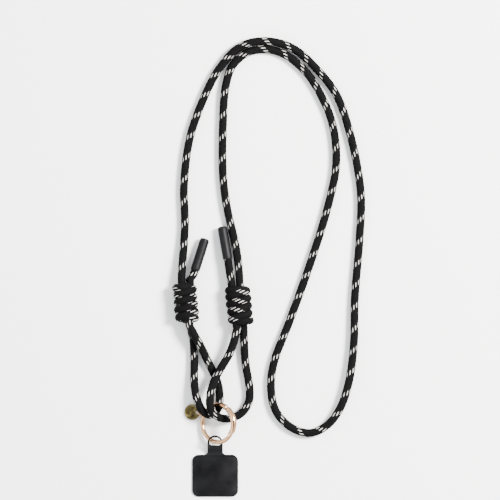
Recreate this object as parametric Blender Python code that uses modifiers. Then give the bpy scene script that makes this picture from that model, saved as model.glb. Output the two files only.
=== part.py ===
"""A crossbody strap, laid out flat: one braided rope tied with two barrel knots into two lower loops,
a polished gate ring that both loops hang on, a small bronze tag, and a tab with a thin flat pad.

Metres, +Z up. The strap lies on the plane z = 0. The origin is on that plane, under the middle of
the box round the knots, sleeves, ring, tag and tab. +Y runs from the pad towards the neck.
"""
import math

import bmesh
import bpy
from mathutils import Matrix, Vector

# Rope
ROPE_D = 0.006
CLEARANCE = 0.0003
STRAND_PITCH = ROPE_D + CLEARANCE
POINT_SPACING = 0.016
POINT_TURN = math.radians(16)
SAMPLES = 24
LEAD = 0.002

# Barrel knots
KNOT_LENGTH = 0.0306
KNOT_HEIGHT = 0.015
WRAPS = 5
WRAP_DEPTH = 0.0011
# how much of its half pitch a wrap's round back fills, and a knot's girth at its ends
WRAP_FILL = 0.95
KNOT_END_WIDTH = 0.80
KNOT_END_HEIGHT = 0.85
KNOT_TAPER = 2.2
KNOT_SIDES = 20
RINGS_PER_WRAP = 6
KNOTS = {
    # middle in plan, how far to its right the strands run, lean of the axis from +Y, roll of the lower
    # pair of strands, and width
    "left": {"middle": (-0.0204, 0.0443), "strands": 0.0014, "lean": 4.8, "roll": 90.0, "width": 0.0188},
    "right": {"middle": (0.0200, 0.0424), "strands": -0.0009, "lean": 6.0, "roll": -36.0, "width": 0.0200},
}

# Heat-shrink sleeves on the rope's two ends
SLEEVE_LENGTH = 0.025
SLEEVE_BORE = 0.0067
SLEEVE_D = 0.0074
SLEEVE_RIM = 0.00015
SLEEVE_OVERHANG = 0.0008
SLEEVE_SIDES = 24
# where the rope is led straight inside a sleeve, as shares of the sleeve's length
SLEEVE_GUIDES = (1.12, 0.95, 0.5)
SLEEVES = {
    # outer end, and the point on the axis where the rope goes in
    "left": {"end": (-0.0058, 0.0932, 0.0040), "towards": (-0.0143, 0.0664, 0.0062)},
    "right": {"end": (0.0070, 0.1023, 0.0040), "towards": (0.0117, 0.0754, 0.0066)},
}

# Gate ring
RING_BORE = 0.025
WIRE_D = 0.0033
GATE_D = 0.0044
RING_MIDDLE = (0.0040, -0.0471, 0.0103)
RING_TILT = 33.0
HINGE_ANGLE = 62.0
NOSE_ANGLE = -35.0
BARREL_D = 0.0046
BARREL_HEIGHT = 0.0044
TONGUE_D = 0.0040
TONGUE_THICKNESS = 0.0018
TONGUE_WIDTH = 0.0029
TONGUE_BITE = 4.0
PIN_D = 0.0014
NOSE_LEAD = 16.0
WIRE_SIDES = 14
PIN_SIDES = 16
DEGREES_PER_STEP = 7.5

# Tag and its link
TAG_D = 0.0120
TAG_THICKNESS = 0.0010
TAG_RIM = 0.0007
TAG_RELIEF = 0.0002
TAG_HOLE_D = 0.0022
TAG_HOLE_OFFSET = 0.0037
TAG_TILT = 10.0
TAG_TURN = 171.0
TAG_SIDES = 36
LINK_WIRE_D = 0.0008
LINK_HEIGHT = 0.0060
LINK_REACH = 0.0057
LINK_ANGLE = 157.5
LINK_STEPS = 9

# Tab and pad
TAB_WIDTH = 0.0117
TAB_THICKNESS = 0.0011
TAB_STROKE = 0.0016
TAB_TOP = -0.0560
TAB_X = 0.0018
TAB_HOLE_LENGTH = 0.0060
# the hole's arch and its lower corners, as shares of its half width
TAB_HOLE_ARCH = 0.8
TAB_HOLE_CORNER = 0.4
TONGUE_LENGTH = 0.0150
TAB_RISE = 0.0094
TAB_TWIST = 4.5
RISE_START = -0.0726
RISE_LENGTH = 0.0150
PAD_WIDTH = 0.035
PAD_LENGTH = 0.032
PAD_CORNER = 0.005
BEND_ROWS = 12
ARCH_STEPS = 14
CORNER_STEPS = 6
ROOT_STEPS = 4
HOLE_STEPS = 12

# Points closer than this are one
WELD = 0.000001

# The rope's chosen points between its sockets in the knots, in metres
NECK_ROUTE = [
    (-0.0235, 0.0670, 0.0066), (-0.0217, 0.0921, 0.0034), (-0.0211, 0.1068, 0.0030),
    (-0.0219, 0.1324, 0.0030), (-0.0185, 0.1644, 0.0030), (-0.0129, 0.1845, 0.0030), (-0.0008, 0.2128, 0.0030),
    (0.0068, 0.2249, 0.0031), (0.0160, 0.2353, 0.0040), (0.0292, 0.2421, 0.0054),
    (0.0471, 0.2424, 0.0054), (0.0625, 0.2367, 0.0040), (0.0751, 0.2260, 0.0031),
    (0.0935, 0.2031, 0.0030), (0.1047, 0.1712, 0.0030), (0.1124, 0.1284, 0.0030),
    (0.1116, 0.0944, 0.0030), (0.1080, 0.0494, 0.0032), (0.1070, 0.0114, 0.0044),
    (0.1029, -0.0176, 0.0054), (0.0959, -0.0371, 0.0052), (0.0860, -0.0492, 0.0042),
    (0.0731, -0.0545, 0.0032), (0.0584, -0.0495, 0.0030), (0.0476, -0.0371, 0.0030),
    (0.0442, -0.0196, 0.0030), (0.0465, -0.0008, 0.0030), (0.0584, 0.0307, 0.0030),
    (0.0742, 0.0748, 0.0030), (0.0882, 0.1205, 0.0030), (0.0938, 0.1514, 0.0030),
    (0.0901, 0.1832, 0.0030), (0.0766, 0.2118, 0.0030), (0.0676, 0.2229, 0.0030),
    (0.0554, 0.2326, 0.0030), (0.0412, 0.2369, 0.0030), (0.0267, 0.2346, 0.0030),
    (0.0152, 0.2247, 0.0030), (0.0100, 0.2099, 0.0030), (0.0077, 0.1792, 0.0030),
    (0.0079, 0.1394, 0.0030), (0.0109, 0.1164, 0.0030), (0.0173, 0.0883, 0.0036),
    (0.0195, 0.0733, 0.0058),
]
LOOP_ROUTES = {
    "left": [
        (-0.0163, 0.0230, 0.0040), (-0.0147, 0.0154, 0.0035), (-0.0141, 0.0055, 0.0032),
        (-0.0140, -0.0039, 0.0034), (-0.0141, -0.0131, 0.0044), (-0.0136, -0.0204, 0.0062),
        (-0.0123, -0.0272, 0.0084), (-0.0099, -0.0337, 0.0100), (-0.0068, -0.0385, 0.0103),
        (-0.0030, -0.0405, 0.0085), (0.0008, -0.0395, 0.0057), (0.0039, -0.0360, 0.0040),
        (0.0052, -0.0299, 0.0034), (0.0050, -0.0226, 0.0030), (0.0035, -0.0158, 0.0030),
        (0.0006, -0.0087, 0.0030), (-0.0032, -0.0010, 0.0036), (-0.0071, 0.0074, 0.0060),
        (-0.0111, 0.0151, 0.0094), (-0.0150, 0.0222, 0.0107),
    ],
    "right": [
        (0.0176, 0.0214, 0.0095), (0.0159, 0.0146, 0.0093), (0.0124, 0.0053, 0.0092),
        (0.0074, -0.0032, 0.0093), (0.0024, -0.0120, 0.0097), (-0.0008, -0.0207, 0.0114),
        (-0.0022, -0.0280, 0.0136), (-0.0018, -0.0345, 0.0148), (0.0005, -0.0392, 0.0139),
        (0.0043, -0.0421, 0.0110), (0.0093, -0.0435, 0.0076), (0.0152, -0.0427, 0.0054),
        (0.0205, -0.0403, 0.0039), (0.0248, -0.0359, 0.0031), (0.0277, -0.0296, 0.0030),
        (0.0281, -0.0226, 0.0030), (0.0269, -0.0131, 0.0030), (0.0252, -0.0039, 0.0030),
        (0.0243, 0.0053, 0.0034), (0.0238, 0.0146, 0.0044), (0.0236, 0.0207, 0.0052),
    ],
}

# Finishes: base colour, roughness, metallic
FINISHES = {
    "rope": ((0.018, 0.017, 0.019), 0.85, 0.0),
    "heat_shrink": ((0.016, 0.016, 0.017), 0.45, 0.0),
    "gold": ((0.80, 0.58, 0.38), 0.22, 1.0),
    "bronze": ((0.33, 0.24, 0.13), 0.45, 1.0),
    "tab": ((0.010, 0.010, 0.011), 0.30, 0.0),
}


def clear_scene():
    for old in list(bpy.data.objects):
        bpy.data.objects.remove(old, do_unlink=True)


def make_collection(name):
    made = bpy.data.collections.new(name)
    bpy.context.scene.collection.children.link(made)
    return made


def make_finish(name):
    colour, roughness, metallic = FINISHES[name]
    finish = bpy.data.materials.new(name)
    finish.use_nodes = True
    shader = finish.node_tree.nodes["Principled BSDF"]
    shader.inputs["Base Color"].default_value = (*colour, 1.0)
    shader.inputs["Roughness"].default_value = roughness
    shader.inputs["Metallic"].default_value = metallic
    return finish


def add_object(name, data, collection, finish=None):
    made = bpy.data.objects.new(name, data)
    collection.objects.link(made)
    if finish:
        data.materials.append(finish)
    return made


def smooth_round(mesh, angle=35.0):
    mesh.shade_smooth()
    mesh.set_sharp_from_angle(angle=math.radians(angle))


def mesh_from(bm, name):
    mesh = bpy.data.meshes.new(name)
    bmesh.ops.recalc_face_normals(bm, faces=bm.faces)
    bm.to_mesh(mesh)
    bm.free()
    smooth_round(mesh)
    return mesh


def combine(target, cutter, operation):
    """A live EXACT Boolean between a piece and another mesh object."""
    step = target.modifiers.new(cutter.name, "BOOLEAN")
    step.operation = operation
    step.solver = "EXACT"
    step.object = cutter


def add_cutter(name, bm, placement):
    made = add_object(name, mesh_from(bm, name), CUTTERS)
    made.matrix_world = placement
    made.hide_render = True
    made.display_type = "WIRE"
    return made


def cylinder(diameter, height, sides=24):
    bm = bmesh.new()
    bmesh.ops.create_cone(
        bm, cap_ends=True, segments=sides, radius1=diameter / 2, radius2=diameter / 2, depth=height
    )
    return bm


def arc(x, y, width, height, start, end, steps):
    """Points on an ellipse quarter or half, by its half width and half height."""
    turns = [math.radians(start + (end - start) * n / steps) for n in range(steps + 1)]
    return [(x + width * math.cos(t), y + height * math.sin(t)) for t in turns]


# Rope


def smooth_route(points):
    """A dense centripetal Catmull-Rom curve through the points."""
    ends = [2 * points[0] - points[1], *points, 2 * points[-1] - points[-2]]
    dense = []
    for before, start, end, after in zip(ends, ends[1:], ends[2:], ends[3:]):
        spans = [math.sqrt((q - p).length) for p, q in ((before, start), (start, end), (end, after))]
        t0, t1 = -spans[0], 0.0
        t2, t3 = spans[1], spans[1] + spans[2]
        for step in range(SAMPLES):
            t = t2 * step / SAMPLES
            a = before.lerp(start, (t - t0) / (t1 - t0))
            b = start.lerp(end, t / t2)
            c = end.lerp(after, (t - t2) / (t3 - t2))
            d = a.lerp(b, (t - t0) / (t2 - t0))
            e = b.lerp(c, t / t3)
            dense.append(d.lerp(e, t / t2))
    dense.append(points[-1].copy())
    return dense


def spaced(dense):
    """The curve's points wherever the spacing or the turn since the last one is reached, with the
    second and the last but one of the chosen points, which lead the rope square out of a knot."""
    last = len(dense) - 1 - SAMPLES
    kept = [dense[0], dense[SAMPLES]]
    heading = (dense[SAMPLES + 1] - dense[SAMPLES]).normalized()
    for here, following in zip(dense[SAMPLES + 1:last], dense[SAMPLES + 2:]):
        now = (following - here).normalized()
        far = (here - kept[-1]).length
        if far > POINT_SPACING or (now.angle(heading) > POINT_TURN and far > ROPE_D / 2):
            kept.append(here)
            heading = now
    if (dense[last] - kept[-1]).length < ROPE_D / 2:
        kept.pop()
    return [*kept, dense[last], dense[-1]]


def make_rope(name, points):
    curve = bpy.data.curves.new(name, "CURVE")
    curve.dimensions = "3D"
    curve.bevel_depth = ROPE_D / 2
    curve.bevel_resolution = 3
    curve.use_fill_caps = True
    spline = curve.splines.new("POLY")
    stations = spaced(smooth_route([Vector(p) for p in points]))
    spline.points.add(len(stations) - 1)
    for point, place in zip(spline.points, stations):
        point.co = (*place, 1.0)
    spline.use_smooth = True
    return add_object(name, curve, PARTS, ROPE)


# Knots


def knot_frame(side):
    """A knot's placement: x across, y along its axis towards the neck, z up."""
    knot = KNOTS[side]
    x, y = knot["middle"]
    return Matrix.Translation((x, y, KNOT_HEIGHT / 2)) @ Matrix.Rotation(math.radians(knot["lean"]), 4, "Z")


def knot_socket(side, end, hand):
    """Where a strand meets the knot: end +1 is the neck's end, hand -1 the left or lower strand."""
    roll = 0.0 if end > 0 else math.radians(KNOTS[side]["roll"])
    reach = hand * STRAND_PITCH / 2
    face = end * (KNOT_LENGTH / 2 + CLEARANCE)
    across = KNOTS[side]["strands"] + reach * math.cos(roll)
    return knot_frame(side) @ Vector((across, face, reach * math.sin(roll)))


def knot_strand(side, end, hand):
    """A socket and the point straight out of it, so that the strand leaves the knot square."""
    socket = knot_socket(side, end, hand)
    return [socket, socket + knot_frame(side).to_3x3() @ Vector((0, end * LEAD, 0))]


def make_knot(side):
    name = f"knot_{side}"
    rings = WRAPS * RINGS_PER_WRAP
    bm = bmesh.new()
    circle = bmesh.ops.create_circle(bm, cap_ends=False, segments=KNOT_SIDES, radius=1.0)["verts"]
    bmesh.ops.rotate(bm, verts=circle, cent=(0, 0, 0), matrix=Matrix.Rotation(math.pi / 2, 3, "X"))
    bmesh.ops.translate(bm, verts=circle, vec=(0, -KNOT_LENGTH / 2, 0))
    edges = bm.edges[:]
    for _ in range(rings):
        grown = bmesh.ops.extrude_edge_only(bm, edges=edges)["geom"]
        edges = [g for g in grown if isinstance(g, bmesh.types.BMEdge)]
        moved = [g for g in grown if isinstance(g, bmesh.types.BMVert)]
        bmesh.ops.translate(bm, verts=moved, vec=(0, KNOT_LENGTH / rings, 0))
    pitch = KNOT_LENGTH / WRAPS
    for vert in bm.verts:
        turn = math.atan2(vert.co.z, vert.co.x)
        along = vert.co.y / KNOT_LENGTH
        wrap = (vert.co.y / pitch + turn / (2 * math.pi)) % 1.0
        lobe = math.sqrt(1 - (WRAP_FILL * (2 * wrap - 1)) ** 2)
        depth = WRAP_DEPTH * (1 - lobe)
        growth = KNOT_TAPER * (0.5 - abs(along))
        vert.co.x = math.cos(turn) * (KNOTS[side]["width"] / 2 * min(1.0, KNOT_END_WIDTH + growth) - depth)
        vert.co.z = math.sin(turn) * (KNOT_HEIGHT / 2 * min(1.0, KNOT_END_HEIGHT + growth) - depth)
    bmesh.ops.holes_fill(bm, edges=bm.edges[:], sides=0)
    knot = add_object(name, mesh_from(bm, name), PARTS, ROPE)
    knot.matrix_world = knot_frame(side)
    return knot


# Tails and sleeves


def sleeve_axis(side):
    end = Vector(SLEEVES[side]["end"])
    return end, (Vector(SLEEVES[side]["towards"]) - end).normalized()


def tail_points(side):
    """From the knot's socket into the sleeve, straight inside it."""
    end, inwards = sleeve_axis(side)
    hand = 1 if side == "left" else -1
    inside = [end + inwards * (SLEEVE_LENGTH * share) for share in SLEEVE_GUIDES]
    return [*knot_strand(side, 1, hand), *inside, end + inwards * SLEEVE_OVERHANG]


def make_sleeve(side):
    name = f"sleeve_{side}"
    inner = SLEEVE_BORE / 2
    outer = SLEEVE_D / 2
    rim = SLEEVE_RIM
    profile = [
        (inner, SLEEVE_LENGTH), (outer - rim, SLEEVE_LENGTH), (outer, SLEEVE_LENGTH - rim),
        (outer, rim), (outer - rim, 0.0), (inner, 0.0),
    ]
    bm = bmesh.new()
    verts = [bm.verts.new((radius, 0, height)) for radius, height in profile]
    for first, second in zip(verts, verts[1:] + verts[:1]):
        bm.edges.new((first, second))
    mesh = bpy.data.meshes.new(name)
    bm.to_mesh(mesh)
    bm.free()
    sleeve = add_object(name, mesh, PARTS, HEAT_SHRINK)
    turn = sleeve.modifiers.new("turn", "SCREW")
    turn.angle = 2 * math.pi
    turn.steps = turn.render_steps = SLEEVE_SIDES
    turn.use_merge_vertices = True
    turn.merge_threshold = WELD
    turn.use_smooth_shade = False
    end, inwards = sleeve_axis(side)
    sleeve.matrix_world = Matrix.Translation(end) @ inwards.to_track_quat("Z", "Y").to_matrix().to_4x4()
    return sleeve


# Gate ring, in its own frame: the ring lies in XY round the origin, z along the hinge's axis


def ring_frame():
    return Matrix.Translation(RING_MIDDLE) @ Matrix.Rotation(math.radians(-RING_TILT), 4, "Y")


def ring_radius():
    return (RING_BORE + WIRE_D) / 2


def on_ring(angle):
    turn = math.radians(angle)
    return Vector((math.cos(turn), math.sin(turn), 0)) * ring_radius()


def nose_reach():
    """How far the gate's free end is from the hinge."""
    return (on_ring(NOSE_ANGLE) - on_ring(HINGE_ANGLE)).length


def shape_nose(verts, reach):
    """Slides a tube's end round the ring until it lies on a cylinder about the hinge's axis, so
    that the gate swings past the nose with an even clearance."""
    radius = ring_radius()
    for vert in verts:
        out = math.hypot(vert.co.x, vert.co.y)
        share = (out * out + radius * radius - reach * reach) / (2 * out * radius)
        turn = math.radians(HINGE_ANGLE) - math.acos(share)
        vert.co.x = out * math.cos(turn)
        vert.co.y = out * math.sin(turn)


def arc_tube(diameter, start, end, reach):
    """A round wire bent along the ring from start to end, its start shaped to meet the nose."""
    bm = bmesh.new()
    first = bmesh.ops.create_circle(bm, cap_ends=False, segments=WIRE_SIDES, radius=diameter / 2)["verts"]
    bmesh.ops.rotate(bm, verts=first, cent=(0, 0, 0), matrix=Matrix.Rotation(math.pi / 2, 3, "X"))
    bmesh.ops.translate(bm, verts=first, vec=(ring_radius(), 0, 0))
    bmesh.ops.rotate(bm, verts=first, cent=(0, 0, 0), matrix=Matrix.Rotation(math.radians(start), 3, "Z"))
    lead = math.copysign(NOSE_LEAD, end - start)
    middle = start + lead
    reaches = ((lead, 1), (end - middle, max(2, round(abs(end - middle) / DEGREES_PER_STEP))))
    ring = first
    for angle, steps in reaches:
        edges = [e for e in bm.edges if all(v in set(ring) for v in e.verts)]
        spun = bmesh.ops.spin(
            bm, geom=ring + edges, cent=(0, 0, 0), axis=(0, 0, 1), angle=math.radians(angle), steps=steps
        )
        ring = [g for g in spun["geom_last"] if isinstance(g, bmesh.types.BMVert)]
    bmesh.ops.remove_doubles(bm, verts=bm.verts[:], dist=WELD)
    start_ring = [v for v in bm.verts if abs(math.degrees(math.atan2(v.co.y, v.co.x)) - start) < 0.1]
    shape_nose(start_ring, reach)
    bmesh.ops.holes_fill(bm, edges=bm.edges[:], sides=0)
    return bm


def make_ring_body():
    hinge = Matrix.Translation(on_ring(HINGE_ANGLE))
    body_end = HINGE_ANGLE - 360.0
    tube = arc_tube(WIRE_D, NOSE_ANGLE, body_end, nose_reach() + CLEARANCE / 2)
    body = add_object("ring_body", mesh_from(tube, "ring_body"), PARTS, GOLD)
    body.matrix_world = ring_frame()
    slot = TONGUE_THICKNESS + 2 * CLEARANCE
    room = max(TONGUE_D, BARREL_D) + 2 * CLEARANCE
    pin_height = (slot + BARREL_HEIGHT) / 2
    place = ring_frame() @ hinge
    combine(body, add_cutter("hinge_barrel", cylinder(BARREL_D, BARREL_HEIGHT), place), "UNION")
    combine(body, add_cutter("hinge_slot", cylinder(room, slot), place), "DIFFERENCE")
    combine(body, add_cutter("hinge_pin", cylinder(PIN_D, pin_height, PIN_SIDES), place), "UNION")
    return body


def make_ring_gate():
    hinge = on_ring(HINGE_ANGLE)
    place = ring_frame() @ Matrix.Translation(hinge)
    clear_of_barrel = BARREL_D / 2 + 2 * CLEARANCE
    gate_end = HINGE_ANGLE - math.degrees(2 * math.asin(clear_of_barrel / (2 * (ring_radius() - GATE_D / 2))))
    tube = arc_tube(GATE_D, NOSE_ANGLE, gate_end, nose_reach() - CLEARANCE / 2)
    bmesh.ops.translate(tube, verts=tube.verts[:], vec=-hinge)
    gate = add_object("ring_gate", mesh_from(tube, "ring_gate"), PARTS, GOLD)
    gate.matrix_world = place
    along = on_ring(gate_end - TONGUE_BITE) - hinge
    tongue = bmesh.new()
    bmesh.ops.create_cube(tongue, size=1.0)
    bmesh.ops.scale(tongue, verts=tongue.verts[:], vec=(along.length, TONGUE_WIDTH, TONGUE_THICKNESS))
    bmesh.ops.rotate(
        tongue, verts=tongue.verts[:], cent=(0, 0, 0),
        matrix=Matrix.Rotation(math.atan2(along.y, along.x), 3, "Z"),
    )
    bmesh.ops.translate(tongue, verts=tongue.verts[:], vec=along / 2)
    combine(gate, add_cutter("gate_tongue", tongue, place), "UNION")
    combine(gate, add_cutter("gate_eye", cylinder(TONGUE_D, TONGUE_THICKNESS), place), "UNION")
    pin_hole = cylinder(PIN_D + 2 * CLEARANCE, BARREL_HEIGHT, PIN_SIDES)
    combine(gate, add_cutter("gate_pin_hole", pin_hole, place), "DIFFERENCE")
    return gate


# Tag and link


def link_frame():
    """The link's frame, at the ring's wire: x runs outwards to the tag, y up."""
    outwards = ring_frame().to_3x3() @ on_ring(LINK_ANGLE)
    outwards.z = 0
    outwards.normalize()
    up = Vector((0, 0, 1))
    turned = Matrix((outwards, up, outwards.cross(up))).transposed().to_4x4()
    return Matrix.Translation(ring_frame() @ on_ring(LINK_ANGLE)) @ turned


def make_tag_link():
    """An oval of fine wire in an upright plane, round the ring's wire at its inner end."""
    curve = bpy.data.curves.new("tag_link", "CURVE")
    curve.dimensions = "3D"
    curve.bevel_depth = LINK_WIRE_D / 2
    curve.bevel_resolution = 1
    half = (LINK_HEIGHT - LINK_WIRE_D) / 2
    straight = LINK_REACH - half
    outline = arc(straight, 0, half, half, -90, 90, LINK_STEPS) + arc(0, 0, half, half, 90, 270, LINK_STEPS)
    spline = curve.splines.new("POLY")
    spline.points.add(len(outline) - 1)
    for point, (x, y) in zip(spline.points, outline):
        point.co = (x, y, 0, 1)
    spline.use_cyclic_u = True
    link = add_object("tag_link", curve, PARTS, GOLD)
    link.matrix_world = link_frame()
    return link


def make_tag():
    """A flat disc with a raised rim and a round hole for the link."""
    radius = TAG_D / 2
    half = TAG_THICKNESS / 2
    edge = TAG_RELIEF
    profile = [
        (0.0, half - TAG_RELIEF), (radius - TAG_RIM, half - TAG_RELIEF), (radius - TAG_RIM + edge, half),
        (radius - edge, half), (radius, half - edge), (radius, edge - half), (radius - edge, -half), (0.0, -half),
    ]
    bm = bmesh.new()
    verts = [bm.verts.new((out, 0, height)) for out, height in profile]
    edges = [bm.edges.new(pair) for pair in zip(verts, verts[1:])]
    bmesh.ops.spin(
        bm, geom=verts + edges, cent=(0, 0, 0), axis=(0, 0, 1), angle=2 * math.pi, steps=TAG_SIDES, use_merge=True
    )
    bmesh.ops.remove_doubles(bm, verts=bm.verts[:], dist=WELD)
    hole = link_frame() @ Vector((LINK_REACH, 0, 0))
    turn = math.radians(TAG_TURN)
    outwards = Vector((math.cos(turn), math.sin(turn), 0))
    far_edge = TAG_HOLE_OFFSET + radius
    drop = far_edge * math.sin(math.radians(TAG_TILT)) + half
    height_at_hole = drop + CLEARANCE
    lean = Matrix.Rotation(math.radians(TAG_TURN), 4, "Z") @ Matrix.Rotation(math.radians(TAG_TILT), 4, "Y")
    middle = Vector((hole.x, hole.y, height_at_hole)) + lean.to_3x3() @ Vector((TAG_HOLE_OFFSET, 0, 0))
    tag = add_object("tag", mesh_from(bm, "tag"), PARTS, BRONZE)
    tag.matrix_world = Matrix.Translation(middle) @ lean
    at_hole = tag.matrix_world @ Matrix.Translation((-TAG_HOLE_OFFSET, 0, 0))
    combine(tag, add_cutter("tag_hole", cylinder(TAG_HOLE_D, 4 * TAG_THICKNESS, PIN_SIDES), at_hole), "DIFFERENCE")
    return tag


# Tab and pad


def tab_outline():
    half = TAB_WIDTH / 2
    shoulder = TAB_TOP - TONGUE_LENGTH
    foot = shoulder - PAD_LENGTH
    side = PAD_WIDTH / 2 - PAD_CORNER
    root = PAD_CORNER / 2
    return [
        *arc(TAB_X, TAB_TOP - half, half, half, 0, 180, ARCH_STEPS),
        *arc(TAB_X - half - root, shoulder + root, root, root, 0, -90, ROOT_STEPS),
        *arc(TAB_X - side, shoulder - PAD_CORNER, PAD_CORNER, PAD_CORNER, 90, 180, CORNER_STEPS),
        *arc(TAB_X - side, foot + PAD_CORNER, PAD_CORNER, PAD_CORNER, 180, 270, CORNER_STEPS),
        *arc(TAB_X + side, foot + PAD_CORNER, PAD_CORNER, PAD_CORNER, 270, 360, CORNER_STEPS),
        *arc(TAB_X + side, shoulder - PAD_CORNER, PAD_CORNER, PAD_CORNER, 0, 90, CORNER_STEPS),
        *arc(TAB_X + half + root, shoulder + root, root, root, 270, 180, ROOT_STEPS),
    ]


def tab_hole():
    half = TAB_WIDTH / 2 - TAB_STROKE
    top = TAB_TOP - TAB_STROKE
    rise = half * TAB_HOLE_ARCH
    corner = half * TAB_HOLE_CORNER
    bottom = top - TAB_HOLE_LENGTH
    return [
        *arc(TAB_X, top - rise, half, rise, 180, 0, HOLE_STEPS),
        *arc(TAB_X + half - corner, bottom + corner, corner, corner, 0, -90, ROOT_STEPS),
        *arc(TAB_X - half + corner, bottom + corner, corner, corner, -90, -180, ROOT_STEPS),
    ]


def tab_lift(x, y):
    """The tongue rises in an S from the pad on the surface to the ring, its left side a little more."""
    share = min(1.0, max(0.0, (y - RISE_START) / RISE_LENGTH))
    eased = share * share * (3 - 2 * share)
    return eased * (TAB_RISE - math.tan(math.radians(TAB_TWIST)) * (x - TAB_X))


def make_anchor_tab():
    curve = bpy.data.curves.new("anchor_tab_outline", "CURVE")
    curve.dimensions = "2D"
    curve.fill_mode = "BOTH"
    curve.extrude = TAB_THICKNESS / 2
    for points in (tab_outline(), tab_hole()):
        spline = curve.splines.new("POLY")
        spline.points.add(len(points) - 1)
        for point, (x, y) in zip(spline.points, points):
            point.co = (x, y, 0, 1)
        spline.use_cyclic_u = True
    flat = add_object("anchor_tab_outline", curve, CUTTERS)
    bpy.context.view_layer.update()
    mesh = bpy.data.meshes.new_from_object(flat.evaluated_get(bpy.context.evaluated_depsgraph_get()))
    bpy.data.objects.remove(flat, do_unlink=True)
    bm = bmesh.new()
    bm.from_mesh(mesh)
    bpy.data.meshes.remove(mesh)
    bmesh.ops.remove_doubles(bm, verts=bm.verts[:], dist=10 * WELD)
    for row in range(BEND_ROWS):
        y = RISE_START + RISE_LENGTH * row / BEND_ROWS
        bmesh.ops.bisect_plane(
            bm, geom=bm.verts[:] + bm.edges[:] + bm.faces[:], dist=0.000001,
            plane_co=(0, y, 0), plane_no=(0, 1, 0),
        )
    bmesh.ops.triangulate(bm, faces=bm.faces[:])
    for vert in bm.verts:
        vert.co.z += TAB_THICKNESS / 2 + tab_lift(vert.co.x, vert.co.y)
    mesh = mesh_from(bm, "anchor_tab")
    return add_object("anchor_tab", mesh, PARTS, TAB)


clear_scene()
PARTS = make_collection("crossbody_strap")
CUTTERS = make_collection("cutters")
ROPE = make_finish("rope")
HEAT_SHRINK = make_finish("heat_shrink")
GOLD = make_finish("gold")
BRONZE = make_finish("bronze")
TAB = make_finish("tab")

make_rope(
    "neck_cord",
    [*knot_strand("left", 1, -1), *NECK_ROUTE, *reversed(knot_strand("right", 1, 1))],
)
for side in KNOTS:
    make_rope(
        f"loop_{side}",
        [*knot_strand(side, -1, -1), *LOOP_ROUTES[side], *reversed(knot_strand(side, -1, 1))],
    )
    make_rope(f"tail_{side}", tail_points(side))
    make_knot(side)
    make_sleeve(side)
make_ring_body()
make_ring_gate()
make_tag_link()
make_tag()
make_anchor_tab()
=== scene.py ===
import math

import bmesh
import bpy
import numpy as np
from mathutils import Matrix, Vector, noise


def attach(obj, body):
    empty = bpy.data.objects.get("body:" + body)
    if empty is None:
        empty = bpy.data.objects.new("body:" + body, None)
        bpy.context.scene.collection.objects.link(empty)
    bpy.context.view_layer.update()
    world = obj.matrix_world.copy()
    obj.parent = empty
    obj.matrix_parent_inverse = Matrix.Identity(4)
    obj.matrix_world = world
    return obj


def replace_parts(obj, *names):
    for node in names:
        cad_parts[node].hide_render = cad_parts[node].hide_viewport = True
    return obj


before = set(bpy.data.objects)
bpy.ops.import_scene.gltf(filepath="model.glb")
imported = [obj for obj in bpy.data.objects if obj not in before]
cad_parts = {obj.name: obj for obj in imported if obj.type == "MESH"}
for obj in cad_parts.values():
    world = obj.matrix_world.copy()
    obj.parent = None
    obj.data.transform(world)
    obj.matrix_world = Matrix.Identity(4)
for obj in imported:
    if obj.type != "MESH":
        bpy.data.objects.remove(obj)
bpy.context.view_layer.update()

# Camera, straight above the strap as in the photograph, in the photograph's own scale
PIXEL = 0.00076
PICTURE = 500
STRAP_ORIGIN = (212.8, 361.2)
CAMERA_HEIGHT = 5.0
SENSOR = 36.0

camera = bpy.data.objects.new("camera", bpy.data.cameras.new("camera"))
bpy.context.scene.collection.objects.link(camera)
camera.data.sensor_width = SENSOR
camera.data.lens = SENSOR * CAMERA_HEIGHT / (PICTURE * PIXEL)
camera.location = (
    (PICTURE / 2 - STRAP_ORIGIN[0]) * PIXEL,
    (STRAP_ORIGIN[1] - PICTURE / 2) * PIXEL,
    CAMERA_HEIGHT,
)
bpy.context.scene.camera = camera

# Lengths are in metres and angles in degrees, unless a name or a comment says otherwise
MM = 0.001

# Small distances for joining points and for keeping what a cut passes through
WELD = 0.0000005
SEAM_WELD = 0.000002
OUTLINE_WELD = 0.000005
ON_PLANE = 0.0000001

# Rope: a braid with 32 columns, flattened out before it is rolled round its line
ROPE_D = 0.006
ROPE_RADIUS = 0.00305
CLEARANCE = 0.0003
STRAND_PITCH = ROPE_D + CLEARANCE
LEAD = 0.002
STRAND_DEPTH = 0.0085
SAMPLES = 24
LINE_STEP = 0.0005
COLUMNS = 32
COLUMN_WIDTH = 2 * math.pi * ROPE_RADIUS / COLUMNS
ROW = 0.0007665
ROWS_PER_TURN = 20
ROWS_PER_PICK = 4
LEAN = 0.10

# The relief of the yarns: heights along one pick, the groove beside it and how far it waists in
PICK_HEIGHTS = (-0.00002, 0.00008, 0.00010, 0.00007)
GROOVE = -0.00009
WAIST = 0.00012

# The white tracer: its length in rows, and how much narrower than the black yarn on each side
FLECK_ROWS = 4
FLECK_SQUEEZE = 0.00025

# Where the tracer starts on each rope, in rows
NECK_PHASE = 16
TAIL_PHASE = 3
LOOP_PHASES = {"left": 1, "right": 4}

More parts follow.
